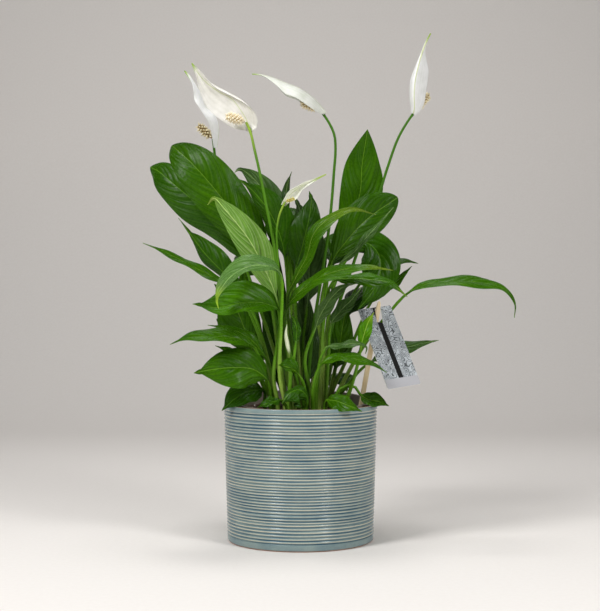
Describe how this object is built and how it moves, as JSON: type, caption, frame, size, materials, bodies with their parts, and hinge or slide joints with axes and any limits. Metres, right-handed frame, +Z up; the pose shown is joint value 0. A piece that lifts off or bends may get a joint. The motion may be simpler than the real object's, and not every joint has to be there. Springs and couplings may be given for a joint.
{
  "type": "potted peace lily",
  "caption": "Peace lily with arching leaves and white hooded blooms, standing in a nursery pot inside a ribbed glazed pot, with a card tag on a wooden stick.",
  "frame": {"origin": "centre of the pot's foot, on the surface it stands on", "axes": "+Z up through the plant, -Y towards the front, +X to the right seen from the front"},
  "size_m": [0.3411, 0.2221, 0.4698],
  "materials": {
    "glaze": "gloss",
    "nursery_plastic": "satin",
    "soil": "matte",
    "leaf_deep": "satin",
    "leaf_mid": "satin",
    "leaf_bright": "satin",
    "leaf_grey": "satin",
    "stem": "satin",
    "spathe": "matte",
    "spadix": "matte",
    "bud": "satin",
    "stick_wood": "matte",
    "tag_card": "matte"
  },
  "bodies": {
    "root": {"ceramic_pot": "glaze", "nursery_pot": "nursery_plastic", "soil": "soil", "leaf_left_far": "leaf_deep", "leaf_left_upper": "leaf_mid", "leaf_left_striped": "leaf_bright", "leaf_left_pointed": "leaf_deep", "leaf_left_grey": "leaf_grey", "leaf_left_inner": "leaf_deep", "leaf_left_narrow": "leaf_mid", "leaf_left_level": "leaf_mid", "leaf_left_behind": "leaf_mid", "leaf_left_low": "leaf_mid", "leaf_left_glossy": "leaf_mid", "leaf_rim_left": "leaf_deep", "leaf_front_arch": "leaf_grey", "leaf_front_small": "leaf_deep", "leaf_front_dome": "leaf_deep", "leaf_front_fold": "leaf_mid", "leaf_centre_long": "leaf_bright", "leaf_centre_lime": "leaf_bright", "leaf_centre_upright": "leaf_deep", "leaf_centre_back": "leaf_grey", "leaf_right_tall": "leaf_mid", "leaf_right_round": "leaf_mid", "leaf_right_hanging": "leaf_deep", "leaf_right_long": "leaf_mid", "leaf_right_low": "leaf_grey", "leaf_right_arrow": "leaf_mid", "leaf_right_rising": "leaf_grey", "leaf_right_grey": "leaf_grey", "leaf_right_arching": "leaf_mid", "leaf_right_tag": "leaf_bright", "leaf_rim_right_front": "leaf_mid", "leaf_rim_right": "leaf_mid", "leaf_back_tips": "leaf_mid", "leaf_back_left": "leaf_mid", "leaf_back_middle": "leaf_deep", "leaf_back_right": "leaf_mid", "leaf_back_right_low": "leaf_deep", "leaf_back_left_low": "leaf_deep", "leaf_back_low": "leaf_mid", "bloom_far_left_stem": "stem", "bloom_far_left_spathe": "spathe", "bloom_far_left_spadix": "spadix", "bloom_left_stem": "stem", "bloom_left_spathe": "spathe", "bloom_left_spadix": "spadix", "bloom_middle_stem": "stem", "bloom_middle_spathe": "spathe", "bloom_middle_spadix": "spadix", "bloom_right_stem": "stem", "bloom_right_spathe": "spathe", "bloom_right_spadix": "spadix", "bloom_young_stem": "stem", "bloom_young_spathe": "spathe", "bloom_young_spadix": "spadix", "bud": "bud", "stick": "stick_wood", "tag": "tag_card"}
  },
  "joints": []
}
